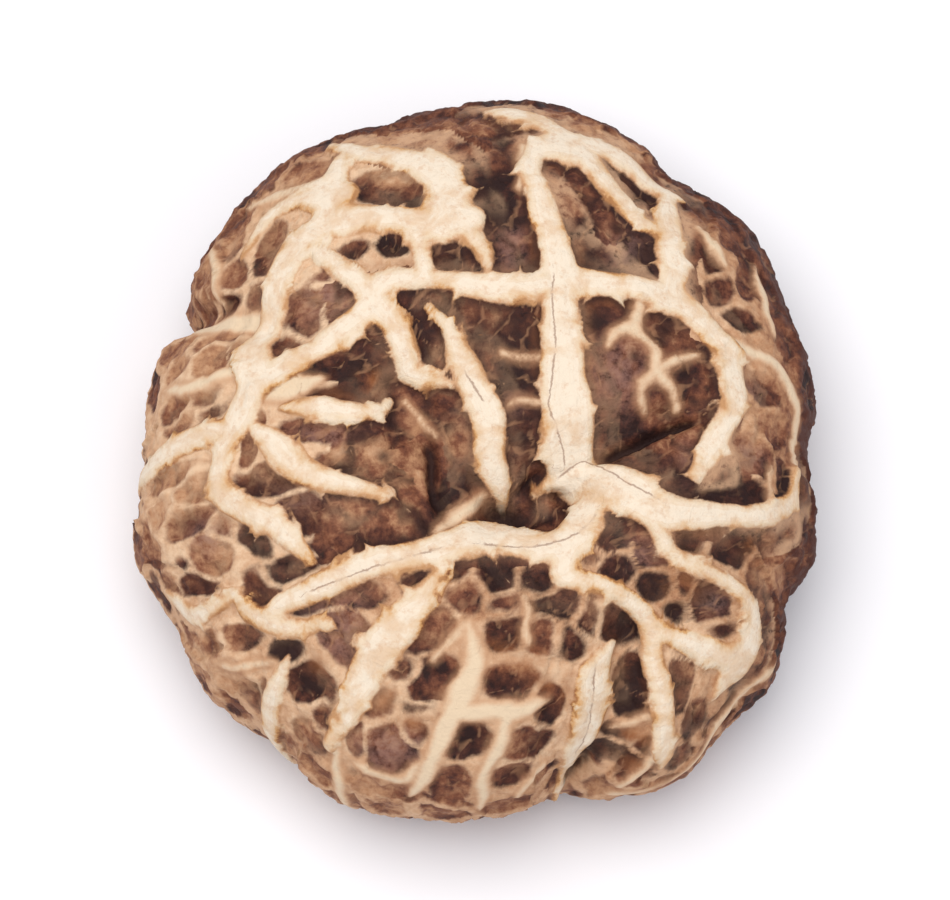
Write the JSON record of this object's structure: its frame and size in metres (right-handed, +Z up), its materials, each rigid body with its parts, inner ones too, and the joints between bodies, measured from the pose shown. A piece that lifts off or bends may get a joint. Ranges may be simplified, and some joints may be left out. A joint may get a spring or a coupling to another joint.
{
  "type": "dried shiitake mushroom",
  "caption": "Dried flower shiitake: thick cushion cap with cracked skin, lobed rim rolled in under it, creased navel, recessed gills and a short cut stem. Lies on its rim.",
  "frame": {"origin": "centre of the cap's bounding box, on the surface that its rolled rim rests on", "axes": "+Z up through the crown, +Y along the cap's longer width, away from the fold in its rim, +X across it"},
  "size_m": [0.0522, 0.0568, 0.0227],
  "materials": {
    "dried_mushroom": "matt dry brown skin, cracked open to cream flesh"
  },
  "bodies": {
    "root": {"mushroom": "dried_mushroom"}
  },
  "joints": []
}
